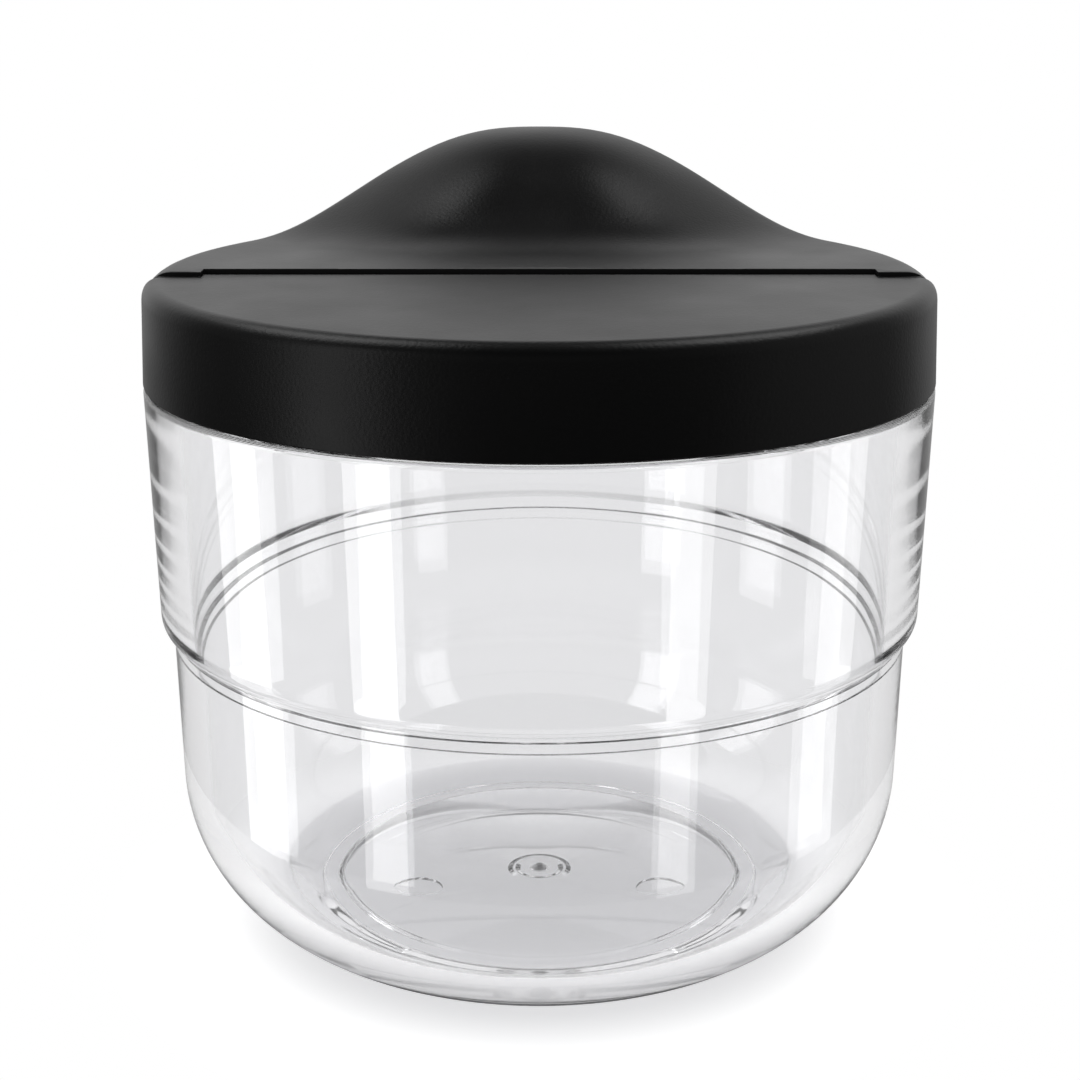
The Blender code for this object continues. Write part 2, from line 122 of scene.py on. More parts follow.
EAR_POCKET_RADIUS = max(EAR_RADIUS, math.hypot(EAR_NOSE, FLAP_TOP_Z - HINGE_Z)) + SWING_GAP
OPENING_RADIUS = PLUG_RING_RADIUS - PLUG_RING_WALL - SEAT_GAP
OPENING_CORNER = 7.0 * MM
SEAL_THICKNESS = 0.9 * MM
PLUG_INSET = 2 * SEAT_GAP + SEAL_THICKNESS
OPENING_Y = FLAP_FRONT_Y + FLAP_EDGE_WALL + 2 * SEAT_GAP - PLUG_INSET
PLUG_WALL = 1.4 * MM
PLUG_LIP = 0.6 * MM
PLUG_LIP_HEIGHT = 1.9 * MM

# Jar
NECK_WALL = 1.6 * MM
NECK_LIP_ROUND = 0.45 * NECK_WALL
SHOULDER_ROUND = 0.8 * MM
SHOULDER_EDGE = 0.25 * MM
UPPER_TAPER = 0.83 * MM
STEP_RADIUS = CAP_RADIUS - UPPER_TAPER
STEP_HEIGHT = 50.9 * MM
STEP_INSET = 1.84 * MM
STEP_ROUND = 2.2 * MM
STEP_LEAN_DEGREES = 51.0
LOWER_RADIUS = STEP_RADIUS - STEP_INSET
LOWER_TAPER = 0.47 * MM
LOWER_WALL = 3.9 * MM
UPPER_BORE_TAPER = 1.14 * MM
LEDGE_LOW = 47.9 * MM
LEDGE_HIGH = 49.6 * MM
LEDGE_SHELF = 0.95 * MM
LEDGE_ROUND = 0.2 * MM
CORNER_RADIUS = 27.3 * MM
CORNER_STOP_DEGREES = 0.3
FLOOR_Z = 7.5 * MM
FLOOR_ROUND = 1.5 * MM
FOOT_RADIUS = 36.0 * MM
FOOT_BORE = 33.4 * MM
FOOT_EDGE = 0.3 * MM
FOOT_CORNER = 0.15 * MM
RECESS_DEPTH = 1.8 * MM
RECESS_DRAFT = 0.8 * MM
RECESS_ROUND = 0.5 * MM

# Gate: a ring groove round a pit in the middle of the base, with a rough scar in the pit, whose colour is
# painted dark as shade
GATE_RADIUS = 5.2 * MM
GATE_DEPTH = 0.9 * MM
GATE_CREST = 0.8 * GATE_RADIUS
GATE_BORE = 0.6 * GATE_RADIUS
GATE_EDGE = GATE_DEPTH / 4
GATE_CREST_ROUND = GATE_DEPTH / 2
GATE_PIT_RADIUS = 1.5 * MM
GATE_PIT_DEPTH = 2.2 * MM
GATE_PIT_TIP = GATE_PIT_RADIUS / 3
GATE_PIT_ROUND = GATE_DEPTH / 3
SCAR_AND_SHADE_CORE = 0.8 * GATE_PIT_RADIUS
SCAR_AND_SHADE_TOP = FLOOR_Z - 0.5 * MM

# Ejector marks
MARK_RADIUS = 3.95 * MM
MARK_DEPTH = 0.4 * MM
MARK_X, MARK_Y = 19.6 * MM, -7.7 * MM
MARK_FACETS = 60

# Grain and waves of the surfaces
WALL_WAVE = 22 * MM
WALL_WAVE_DEPTH = 0.3 * MM
SPARK_GRAIN = 0.5 * MM
SPARK_GRAIN_DEPTH = 0.05 * MM
GLOSS_CLOUD = 18 * MM
PLATE_CLOUD = 9 * MM
SILICONE_GRAIN = 0.6 * MM
SILICONE_GRAIN_DEPTH = 0.02 * MM
SILICONE_LIGHT_REACH = 1.2 * MM
DRAWN_LINE = 0.12 * MM
DRAWN_STRETCH = 0.05

# Facets, and limits of the modelling
TURN_STEPS = 192
ROD_FACETS = 24
RIB_FACETS = 16
FAR = 0.3
BEYOND_FAR = 1.1 * FAR
ON_AXIS = 1e-9
WELD = 0.002 * MM
SIDES = ((-1, "left"), (1, "right"))


def arc(centre_u, centre_v, radius, start, end, steps):
    """Points on an arc in a plane, both ends included, with angles in degrees from its first axis."""
    points = []
    for index in range(steps + 1):
        angle = math.radians(start + (end - start) * index / steps)
        points.append((centre_u + radius * math.cos(angle), centre_v + radius * math.sin(angle)))
    return points


def circle(centre_u, centre_v, radius, facets):
    """Points round a full circle, with no point twice."""
    return arc(centre_u, centre_v, radius, 0, 360 - 360 / facets, facets - 1)


def rounded(corners, step_degrees=9.0):
    """A chain of (u, v) or (u, v, radius) corners, with each radius turned into an arc."""
    points = []
    for index, corner in enumerate(corners):
        if len(corner) == 2 or corner[2] == 0:
            points.append((corner[0], corner[1]))
            continue
        here = Vector(corner[:2])
        before = Vector(corners[index - 1][:2]) - here
        after = Vector(corners[(index + 1) % len(corners)][:2]) - here
        half = before.angle(after) / 2
        reach = corner[2] / math.tan(half)
        centre = here + (before.normalized() + after.normalized()).normalized() * corner[2] / math.sin(half)
        start = here + before.normalized() * reach - centre
        end = here + after.normalized() * reach - centre
        sweep = start.angle_signed(end) * -1
        steps = max(2, round(abs(math.degrees(sweep)) / step_degrees))
        for step in range(steps + 1):
            turn = sweep * step / steps
            cos, sin = math.cos(turn), math.sin(turn)
            across = start.x * cos - start.y * sin
            up = start.x * sin + start.y * cos
            points.append((centre.x + across, centre.y + up))
    return points


def new_object(name, builder):
    """A mesh object at the origin, made from what was built."""
    mesh = bpy.data.meshes.new(name)
    builder.to_mesh(mesh)
    builder.free()
    obj = bpy.data.objects.new(name, mesh)
    bpy.context.scene.collection.objects.link(obj)
    return obj


def turned(name, profile, steps=TURN_STEPS, ring=False):
    """A profile of (radius, z) points turned about Z; its ends lie on the axis, or it closes as a ring."""
    builder = bmesh.new()
    columns = []
    for step in range(steps):
        angle = 2 * math.pi * step / steps
        columns.append([(r * math.cos(angle), r * math.sin(angle), z) for r, z in profile])
    poles = {}
    grid = []
    for column in columns:
        line = []
        for index, point in enumerate(column):
            if profile[index][0] < ON_AXIS:
                if index not in poles:
                    poles[index] = builder.verts.new(point)
                line.append(poles[index])
            else:
                line.append(builder.verts.new(point))
        grid.append(line)
    last = len(profile) if ring else len(profile) - 1
    for line, following in zip(grid, grid[1:] + grid[:1]):
        for index in range(last):
            after = (index + 1) % len(profile)
            corners = [line[index], line[after], following[after], following[index]]
            unique = list(dict.fromkeys(corners))
            if len(unique) > 2:
                builder.faces.new(unique)
    bmesh.ops.recalc_face_normals(builder, faces=builder.faces)
    return new_object(name, builder)


def prism(name, outline, low, high, along="Z"):
    """A filled outline extruded along Z from (x, y) points, or along X from (y, z) points."""
    builder = bmesh.new()

    def place(point, level):
        """A point of the outline at one end of the prism."""
        return (level, *point) if along == "X" else (*point, level)

    bottom = [builder.verts.new(place(point, low)) for point in outline]
    top = [builder.verts.new(place(point, high)) for point in outline]
    builder.faces.new(bottom)
    builder.faces.new(top)
    for index in range(len(outline)):
        after = (index + 1) % len(outline)
        builder.faces.new((bottom[index], bottom[after], top[after], top[index]))
    bmesh.ops.recalc_face_normals(builder, faces=builder.faces)
    return new_object(name, builder)


def box(name, low, high):
    """A block between two corners."""
    corners = [(low[0], low[1]), (high[0], low[1]), (high[0], high[1]), (low[0], high[1])]
    return prism(name, corners, low[2], high[2])


def hinge_rod(name, radius, start_x, end_x):
    """A round bar on the hinge's axis."""
    return prism(name, circle(HINGE_Y, HINGE_Z, radius, ROD_FACETS), start_x, end_x, along="X")


def applied(obj):
    """Bakes an object's modifiers into its mesh."""
    bpy.context.view_layer.update()
    mesh = bpy.data.meshes.new_from_object(obj.evaluated_get(bpy.context.evaluated_depsgraph_get()))
    obj.modifiers.clear()
    obj.data = mesh
    return obj


def boolean(obj, operation, *others):
    """Joins, cuts or trims an object with others, which are then removed, and welds the result."""
    for other in others:
        modifier = obj.modifiers.new(other.name, "BOOLEAN")
        modifier.operation = operation
        modifier.solver = "EXACT"
        modifier.object = other
    applied(obj)
    for other in others:
        bpy.data.objects.remove(other)
    builder = bmesh.new()
    builder.from_mesh(obj.data)
    bmesh.ops.remove_doubles(builder, verts=builder.verts, dist=WELD)
    bmesh.ops.dissolve_degenerate(builder, dist=WELD / 2, edges=builder.edges)
    builder.to_mesh(obj.data)
    builder.free()
    return obj


def softened(obj, width, segments=2, angle=30):
    """Rounds an object's hard edges a little, as a moulding's are."""
    bevel = obj.modifiers.new("Edges", "BEVEL")
    bevel.width = width
    bevel.segments = segments
    bevel.limit_method = "ANGLE"
    bevel.angle_limit = math.radians(angle)
    bevel.harden_normals = False
    return applied(obj)


def dressed(obj, material, body, stands_for, sharp=40):
    """Gives a finished piece its shading, material and body, and hides the frame's part that it stands for.
    """
    obj.data.shade_smooth()
    obj.data.set_sharp_from_angle(angle=math.radians(sharp))
    obj.data.materials.clear()
    obj.data.materials.append(material)
    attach(obj, body)
    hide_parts(stands_for)
    return obj


# Materials: real plastics and steel, with roughness and grain matched to the photograph
def linear(code):
    """A colour written as sRGB hex, as linear red, green and blue with full alpha."""
    values = [int(code[index:index + 2], 16) / 255 for index in (1, 3, 5)]
    return (*(v / 12.92 if v <= 0.04045 else ((v + 0.055) / 1.055) ** 2.4 for v in values), 1.0)


def add(tree, kind, sockets=None, **settings):
    """Adds a node. A socket's value may be a number, a colour, an output, or a node for its first output."""
    node = tree.nodes.new(kind)
    for name, value in settings.items():
        setattr(node, name, value)
    for name, value in (sockets or {}).items():
        if isinstance(value, bpy.types.Node):
            value = value.outputs[0]
        if isinstance(value, bpy.types.NodeSocket):
            tree.links.new(value, node.inputs[name])
        else:
            node.inputs[name].default_value = value
    return node


def new_material(name):
    """A material with an empty tree of nodes."""
    material = bpy.data.materials.new(name)
    material.use_nodes = True
    material.node_tree.nodes.clear()
    return material, material.node_tree


def clear_copolyester():
    """Injection moulded clear copolyester: hard, glossy, faintly wavy, and light passes through to the floor.

    Where the gate was cut off, in the middle of the base, it is rough, and its colour is painted near black
    as shade.
    """
    material, tree = new_material("clear_copolyester_moulded")
    place = add(tree, "ShaderNodeTexCoord").outputs["Object"]
    flow = add(tree, "ShaderNodeTexNoise", {"Vector": place, "Scale": 1 / WALL_WAVE, "Detail": 1.0})
    waves = add(tree, "ShaderNodeBump", {"Height": flow, "Strength": 0.15, "Distance": WALL_WAVE_DEPTH})
    parts = add(tree, "ShaderNodeSeparateXYZ", {"Vector": place}).outputs
    across = add(tree, "ShaderNodeCombineXYZ", {"X": parts["X"], "Y": parts["Y"]})
    from_axis = add(tree, "ShaderNodeVectorMath", {0: across}, operation="LENGTH").outputs["Value"]
    # Mask of the gate's pit under the base: rough there, and painted dark there as shade
    near_axis = add(tree, "ShaderNodeMapRange", {
        "Value": from_axis, "From Min": SCAR_AND_SHADE_CORE, "From Max": GATE_PIT_RADIUS, "To Min": 1.0, "To Max": 0.0,
    })
    underneath = add(tree, "ShaderNodeMath", {0: parts["Z"], 1: SCAR_AND_SHADE_TOP}, operation="LESS_THAN")
    scar_and_shade = add(tree, "ShaderNodeMath", {0: near_axis, 1: underneath}, operation="MULTIPLY")
    # The pit's clear colour is painted near black here as shade; only its roughness is real
    tint_with_painted_shade = add(tree, "ShaderNodeMix", {
        "Factor": scar_and_shade, 6: linear("#f5f5f6"), 7: linear("#0c0c0d"),
    }, data_type="RGBA").outputs[2]
    rough = add(tree, "ShaderNodeMapRange", {"Value": scar_and_shade, "To Min": 0.02, "To Max": 0.5})
    plastic = add(tree, "ShaderNodeBsdfPrincipled", {
        "Base Color": tint_with_painted_shade, "Roughness": rough, "IOR": 1.54, "Transmission Weight": 1.0, "Normal": waves,
    })
    path = add(tree, "ShaderNodeLightPath").outputs
    passing = add(tree, "ShaderNodeBsdfTransparent", {"Color": linear("#f3f3f4")})
    mixed = add(tree, "ShaderNodeMixShader", {"Fac": path["Is Shadow Ray"], 1: plastic, 2: passing})
    add(tree, "ShaderNodeOutputMaterial", {"Surface": mixed})
    return material


def black_polypropylene():
    """Injection moulded black polypropylene with a spark-eroded texture, which spreads each highlight softly.

    The real grains are about 0.1 mm. They are drawn coarser here, so that they show.
    """
    material, tree = new_material("black_polypropylene_spark_textured")
    place = add(tree, "ShaderNodeTexCoord").outputs["Object"]
    grain = add(tree, "ShaderNodeTexNoise", {"Vector": place, "Scale": 1 / SPARK_GRAIN, "Detail": 2.0})
    pits = add(tree, "ShaderNodeBump", {"Height": grain, "Strength": 0.6, "Distance": SPARK_GRAIN_DEPTH})
    cloud = add(tree, "ShaderNodeTexNoise", {"Vector": place, "Scale": 1 / GLOSS_CLOUD, "Detail": 3.0})
    rough = add(tree, "ShaderNodeMapRange", {
        "Value": cloud, "From Min": 0.3, "From Max": 0.7, "To Min": 0.34, "To Max": 0.40,
    })
    plastic = add(tree, "ShaderNodeBsdfPrincipled", {
        "Base Color": linear("#0b0b0c"), "Roughness": rough, "IOR": 1.49, "Normal": pits,
    })
    add(tree, "ShaderNodeOutputMaterial", {"Surface": plastic})
    return material


def dark_polypropylene():
    """The under-plate's dark grey polypropylene, smooth from a plain mould, with a slightly uneven sheen."""
    material, tree = new_material("dark_polypropylene_smooth")
    place = add(tree, "ShaderNodeTexCoord").outputs["Object"]
    flow = add(tree, "ShaderNodeTexNoise", {"Vector": place, "Scale": 1 / PLATE_CLOUD, "Detail": 2.0})
    rough = add(tree, "ShaderNodeMapRange", {
        "Value": flow, "From Min": 0.3, "From Max": 0.7, "To Min": 0.34, "To Max": 0.42,
    })
    plastic = add(tree, "ShaderNodeBsdfPrincipled", {
        "Base Color": linear("#18181a"), "Roughness": rough, "IOR": 1.49,
    })
    add(tree, "ShaderNodeOutputMaterial", {"Surface": plastic})
    return material


def clear_silicone():
    """Moulded food-grade silicone: milky, soft looking, with light carried a little way inside."""
    material, tree = new_material("silicone_translucent_moulded")
    place = add(tree, "ShaderNodeTexCoord").outputs["Object"]
    grain = add(tree, "ShaderNodeTexNoise", {"Vector": place, "Scale": 1 / SILICONE_GRAIN, "Detail": 2.0})
    skin = add(tree, "ShaderNodeBump", {"Height": grain, "Strength": 0.25, "Distance": SILICONE_GRAIN_DEPTH})
    rubber = add(tree, "ShaderNodeBsdfPrincipled", {
        "Base Color": linear("#cdcecf"), "Roughness": 0.42, "IOR": 1.41, "Subsurface Weight": 0.6,
        "Subsurface Radius": (1.0, 1.0, 1.0), "Subsurface Scale": SILICONE_LIGHT_REACH, "Normal": skin,
    })
    add(tree, "ShaderNodeOutputMaterial", {"Surface": rubber})
    return material


def drawn_steel():
    """Drawn stainless wire, cut to length: fine lines along its run."""
    material, tree = new_material("stainless_steel_drawn")
    place = add(tree, "ShaderNodeTexCoord").outputs["Object"]
    along = add(tree, "ShaderNodeMapping", {"Vector": place, "Scale": (DRAWN_STRETCH, 1.0, 1.0)})
    lines = add(tree, "ShaderNodeTexNoise", {"Vector": along, "Scale": 1 / DRAWN_LINE, "Detail": 1.0})
    rough = add(tree, "ShaderNodeMapRange", {"Value": lines, "To Min": 0.2, "To Max": 0.4})
    metal = add(tree, "ShaderNodeBsdfPrincipled", {
        "Base Color": linear("#c9c9cb"), "Metallic": 1.0, "Roughness": rough,
    })
    add(tree, "ShaderNodeOutputMaterial", {"Surface": metal})
    return material


# Jar
def make_jar():
    """The clear jar, turned, with the gate's groove and pit and two ejector marks under its base."""
    z = jar_low.z
    shoulder = BODY_Z - SEAT_GAP
    neck_radius = NECK_BORE + NECK_WALL
    centre = LOWER_RADIUS - LOWER_TAPER - CORNER_RADIUS
    bore_corner = CORNER_RADIUS - LOWER_WALL
    round_z = FLOOR_Z + FLOOR_ROUND
    round_angle = -math.degrees(math.asin((CORNER_RADIUS - round_z) / (bore_corner - FLOOR_ROUND)))
    round_x = centre + (bore_corner - FLOOR_ROUND) * math.cos(math.radians(round_angle))
    foot_angle = -math.degrees(math.acos((FOOT_RADIUS - centre) / CORNER_RADIUS))
    floor = [(0, z + FLOOR_Z)] + arc(round_x, z + round_z, FLOOR_ROUND, -90, round_angle, steps=10)
    floor += arc(centre, z + CORNER_RADIUS, bore_corner, round_angle, 0, steps=16)[1:]
    corner = arc(centre, z + CORNER_RADIUS, CORNER_RADIUS, 0, foot_angle + CORNER_STOP_DEGREES, steps=24)
    ledge_in = LOWER_RADIUS - LOWER_WALL
    ledge_out = NECK_BORE - UPPER_BORE_TAPER
    lean = math.radians(STEP_LEAN_DEGREES)
    step_reach = STEP_INSET - STEP_ROUND * (1 - math.cos(lean))
    step_z = z + STEP_HEIGHT + step_reach / math.tan(lean) + STEP_ROUND * math.sin(lean)
    step = arc(STEP_RADIUS - STEP_ROUND, step_z, STEP_ROUND, 0, -STEP_LEAN_DEGREES, steps=9)
    wall = rounded([
        floor[-1],
        (ledge_in, z + LEDGE_LOW, LEDGE_ROUND),
        (ledge_out - LEDGE_SHELF, z + LEDGE_LOW, LEDGE_ROUND),
        (ledge_out - LEDGE_SHELF, z + LEDGE_HIGH, LEDGE_ROUND),
        (ledge_out, z + LEDGE_HIGH, LEDGE_ROUND),
        (NECK_BORE, jar_high.z, NECK_LIP_ROUND),
        (neck_radius, jar_high.z, NECK_LIP_ROUND),
        (neck_radius, shoulder, SHOULDER_EDGE),
        (CAP_RADIUS, shoulder, SHOULDER_ROUND),
        *step,
        (LOWER_RADIUS, z + STEP_HEIGHT, LEDGE_ROUND),
        corner[0],
    ], step_degrees=5.0)
    recess = z + RECESS_DEPTH
    foot = rounded([
        corner[-2],
        (FOOT_RADIUS, corner[-1][1], FOOT_CORNER),
        (FOOT_RADIUS, z, FOOT_EDGE),
        (FOOT_BORE, z, FOOT_EDGE),
        (FOOT_BORE - RECESS_DRAFT, recess, RECESS_ROUND),
        (GATE_RADIUS, recess, GATE_EDGE),
        (GATE_CREST, recess + GATE_DEPTH, GATE_CREST_ROUND),
        (GATE_BORE, recess, GATE_EDGE),
        (GATE_PIT_RADIUS, recess, GATE_EDGE),
        (GATE_PIT_TIP, recess + GATE_PIT_DEPTH, GATE_PIT_ROUND),
        (0, recess + GATE_PIT_DEPTH),
    ], step_degrees=15.0)
    jar = turned("jar_body", floor + wall[1:] + corner[1:-1] + foot[1:])
    marks = []
    for side, word in SIDES:
        disc = circle(side * MARK_X, MARK_Y, MARK_RADIUS, MARK_FACETS)
        marks.append(prism(f"mark_{word}", disc, recess - MM, recess + MARK_DEPTH))
    return boolean(jar, "DIFFERENCE", *marks)


# Lid
def half_moon(inset, steps=72):
    """The pouring opening's outline, a half disc with rounded corners, moved in on every side."""
    radius = OPENING_RADIUS - inset
    corner = OPENING_CORNER - inset
    corner_y = OPENING_Y + inset + corner
    corner_x = math.sqrt((radius - corner) ** 2 - corner_y**2)
    join = math.degrees(math.atan2(corner_y, corner_x))
    points = arc(0, 0, radius, join, 180 - join, steps)
    points += arc(-corner_x, corner_y, corner, 180 - join, 270, steps=12)[1:]
    points += arc(corner_x, corner_y, corner, -90, join, steps=12)[:-1]
    return points


def over_top(points):
    """Runs the first facet of an arc on past the flat top that trims it."""
    return [tuple(2 * a - b for a, b in zip(points[0], points[1]))] + points


def make_cap():
    """The black cap: skirt, front deck, plug ring, barrel and the rear seat round the pouring opening."""
    bead = PLUG_RING_RADIUS + PLUG_RING_BEAD
    bore = PLUG_RING_RADIUS - PLUG_RING_WALL
    profile = rounded([
        (0, DECK_Z),
        (RIM_RADIUS, DECK_Z, RIM_ROUND),
        (CAP_RADIUS, BODY_Z, SKIRT_EDGE),
        (CAP_RADIUS - SKIRT_WALL, BODY_Z, SKIRT_EDGE),
        (RIM_RADIUS - SKIRT_WALL, CHANNEL_Z, SKIRT_EDGE),
        (PLUG_RING_RADIUS, CHANNEL_Z, MOULDED_EDGE),
        (PLUG_RING_RADIUS, PLUG_RING_Z + 2 * PLUG_RING_BEAD, MOULDED_EDGE),
        (bead, PLUG_RING_Z + 1.5 * PLUG_RING_BEAD, MOULDED_EDGE),
        (bead, PLUG_RING_Z + PLUG_RING_BEAD, MOULDED_EDGE),
        (PLUG_RING_RADIUS, PLUG_RING_Z, MOULDED_EDGE),
        (bore, PLUG_RING_Z, 2 * MOULDED_EDGE),
        (bore, CHANNEL_Z, MOULDED_EDGE),
        (0, CHANNEL_Z),
    ])
    cap = turned("lid_cap_moulding", profile)
    barrel = over_top(arc(HINGE_Y, HINGE_Z, BARREL_RADIUS, 90, 0, steps=12))
    behind = [(barrel[-1][0], SEAT_Z), (FAR, SEAT_Z), (FAR, FAR), (barrel[0][0], FAR)]
    below = CHANNEL_Z - DECK_WALL
    ceiling = DECK_Z - DECK_WALL
    cuts = [prism("rear_seat", barrel + behind, -FAR, FAR, along="X")]
    cuts.append(prism("opening", half_moon(0), below, SEAT_Z + SEAT_GAP))
    deck_pocket = [(0, ceiling), (OPENING_RADIUS, ceiling), (OPENING_RADIUS, below), (0, below)]
    under = turned("under_deck", deck_pocket)
    back = box("under_back", (-FAR, HINGE_Y - BEAM_WIDTH, 0), (FAR, FAR, FAR))
    cuts.append(boolean(under, "DIFFERENCE", back))
    slot_radius = PIN_RADIUS + 1.5 * PIN_GAP
    slot = arc(HINGE_Y, HINGE_Z, slot_radius, 180, 0, steps=12)
    slot += [(HINGE_Y + slot_radius, below), (HINGE_Y - slot_radius, below)]
    pocket = arc(HINGE_Y, HINGE_Z, EAR_POCKET_RADIUS, 180, 360, steps=24)
    pocket += [(pocket[-1][0], FAR), (pocket[0][0], FAR)]
    pocket_x = EAR_X - SEAT_GAP
    for side, word in SIDES:
        ends = sorted((side * pocket_x, side * FAR))
        cuts.append(prism(f"ear_pocket_{word}", pocket, *ends, along="X"))
        ends = sorted((side * (PIN_SLOT_START - PIN_SLOT_LENGTH), side * PIN_SLOT_START))
        cuts.append(prism(f"pin_slot_{word}", slot, *ends, along="X"))
        ends = sorted((side * (PIN_SLOT_START - PIN_GAP), side * (pocket_x + SEAT_GAP)))
        cuts.append(hinge_rod(f"pin_bore_{word}", PIN_RADIUS + PIN_GAP, *ends))
    return softened(boolean(cap, "DIFFERENCE", *cuts), MOULDED_EDGE)


def hump_section(foot_round, crest_round, steps=10):
    """The hump's middle section as (radius, rise) points: a foot arc, a straight slope and a crest arc."""
    turn = 1 - math.cos(HUMP_SLOPE)
    straight = (HUMP_HEIGHT - (foot_round + crest_round) * turn) / math.sin(HUMP_SLOPE)
    crest_r = RIM_RADIUS - HUMP_BACK_ROUND
    foot_r = crest_r - (foot_round + crest_round) * math.sin(HUMP_SLOPE) - straight * math.cos(HUMP_SLOPE)
    degrees = math.degrees(HUMP_SLOPE)
    foot = arc(foot_r, foot_round, foot_round, -90, degrees - 90, steps)
    crest = arc(crest_r, HUMP_HEIGHT - crest_round, crest_round, degrees + 90, 90, steps)
    middle = []
    for share in HUMP_SLOPE_POINTS:
        middle.append(tuple((1 - share) * low + share * high for low, high in zip(foot[-1], crest[0])))
    return foot + middle + crest


def hump_rule():
    """Nodes that shape a blank, with the full hump all round, so that the hump dies out round the rim."""
    tree = bpy.data.node_groups.new("hump_rule", "GeometryNodeTree")
    tree.interface.new_socket("Geometry", in_out="INPUT", socket_type="NodeSocketGeometry")
    for name in HUMP_RULE_SIZES:
        tree.interface.new_socket(name, in_out="INPUT", socket_type="NodeSocketFloat")
    tree.interface.new_socket("Material", in_out="INPUT", socket_type="NodeSocketMaterial")
    tree.interface.new_socket("Geometry", in_out="OUTPUT", socket_type="NodeSocketGeometry")
    size = add(tree, "NodeGroupInput").outputs
    position = add(tree, "GeometryNodeInputPosition")
    place = add(tree, "ShaderNodeSeparateXYZ", {"Vector": position}).outputs
    flat = add(tree, "ShaderNodeCombineXYZ", {"X": place["X"], "Y": place["Y"]})
    radius = add(tree, "ShaderNodeVectorMath", {0: flat}, operation="LENGTH").outputs["Value"]

    # The hump's share of its full height falls from one at the back to none at the half angle
    bearing = add(tree, "ShaderNodeMath", {0: place["X"], 1: place["Y"]}, operation="ARCTAN2")
    away = add(tree, "ShaderNodeMath", {0: bearing}, operation="ABSOLUTE")
    fall = add(tree, "ShaderNodeMapRange", {
        "Value": away, "From Min": 0.0, "From Max": size["Half Angle"], "To Min": 1.0, "To Max": 0.0,
    }, interpolation_type="SMOOTHERSTEP")
    share = add(tree, "ShaderNodeMath", {0: fall, 1: size["Fullness"]}, operation="POWER")

    # The rim's round grows with that share, and the shoulder inside it gives way
    rim_round = add(tree, "ShaderNodeMapRange", {
        "Value": share, "To Min": size["Low Rim Round"], "To Max": size["Back Rim Round"],
    })
    ratio = add(tree, "ShaderNodeMath", {0: rim_round, 1: size["Back Rim Round"]}, operation="DIVIDE")
    shoulder = add(tree, "ShaderNodeMath", {0: size["Rim Radius"], 1: rim_round}, operation="SUBTRACT")
    slope_reach = add(tree, "ShaderNodeMath", {0: shoulder, 1: size["Foot Radius"]}, operation="SUBTRACT")
    inside = add(tree, "ShaderNodeMath", {0: radius, 1: size["Foot Radius"]}, operation="MINIMUM")
    slope = add(tree, "ShaderNodeMapRange", {
        "Value": radius, "From Min": size["Foot Radius"], "From Max": size["Crest Radius"],
        "To Min": 0.0, "To Max": slope_reach,
    })
    beyond = add(tree, "ShaderNodeMath", {0: radius, 1: size["Crest Radius"]}, operation="SUBTRACT")
    past = add(tree, "ShaderNodeMath", {0: beyond, 1: 0.0}, operation="MAXIMUM")
    up_to_crest = add(tree, "ShaderNodeMath", {0: inside, 1: slope}, operation="ADD")
    reach = add(tree, "ShaderNodeMath", {0: past, 1: ratio, 2: up_to_crest}, operation="MULTIPLY_ADD")
    stretch = add(tree, "ShaderNodeMath", {0: reach, 1: radius}, operation="DIVIDE")

    # Heights: up to the crest they shrink with the share, and past it the rim's round hangs from the crest
    rise = add(tree, "ShaderNodeMath", {0: place["Z"], 1: size["Flat Top"]}, operation="SUBTRACT")
    slope_rise = add(tree, "ShaderNodeMath", {0: rise, 1: share}, operation="MULTIPLY")
    crest_rise = add(tree, "ShaderNodeMath", {0: size["Hump Height"], 1: share}, operation="MULTIPLY")
    drop = add(tree, "ShaderNodeMath", {0: rise, 1: size["Hump Height"]}, operation="SUBTRACT")
    rim_rise = add(tree, "ShaderNodeMath", {0: drop, 1: ratio, 2: crest_rise}, operation="MULTIPLY_ADD")
    over = add(tree, "ShaderNodeMath", {0: radius, 1: size["Crest Radius"]}, operation="GREATER_THAN")
    new_rise = add(tree, "ShaderNodeMix", {0: over, 2: slope_rise, 3: rim_rise}, data_type="FLOAT")
    height = add(tree, "ShaderNodeMath", {0: new_rise, 1: size["Flat Top"]}, operation="ADD")

    new_x = add(tree, "ShaderNodeMath", {0: place["X"], 1: stretch}, operation="MULTIPLY")
    new_y = add(tree, "ShaderNodeMath", {0: place["Y"], 1: stretch}, operation="MULTIPLY")
    spot = add(tree, "ShaderNodeCombineXYZ", {"X": new_x, "Y": new_y, "Z": height})
    above_floor = add(tree, "ShaderNodeMath", {0: place["Z"], 1: size["Floor"]}, operation="GREATER_THAN")
    off_axis = add(tree, "ShaderNodeMath", {0: radius, 1: size["Low Rim Round"]}, operation="GREATER_THAN")
    chosen = add(tree, "ShaderNodeMath", {0: above_floor, 1: off_axis}, operation="MULTIPLY")
    moved = add(tree, "GeometryNodeSetPosition", {
        "Geometry": size["Geometry"], "Selection": chosen, "Position": spot,
    })
    return finished_tree(tree, moved, size["Material"])


def finished_tree(tree, geometry, material):
    """Ends a tree of nodes in real geometry with its material."""
    real = add(tree, "GeometryNodeRealizeInstances", {"Geometry": geometry})
    coated = add(tree, "GeometryNodeSetMaterial", {"Geometry": real, "Material": material})
    add(tree, "NodeGroupOutput", {"Geometry": coated})
    return tree


def shaped(obj, tree, values):
    """Runs an object through a tree of nodes with the given sizes, and keeps the result as a plain mesh."""
    modifier = obj.modifiers.new(tree.name, "NODES")
    modifier.node_group = tree
    for socket in tree.interface.items_tree:
        if socket.in_out == "INPUT" and socket.name in values:
            modifier[socket.identifier] = values[socket.name]
    return applied(obj)


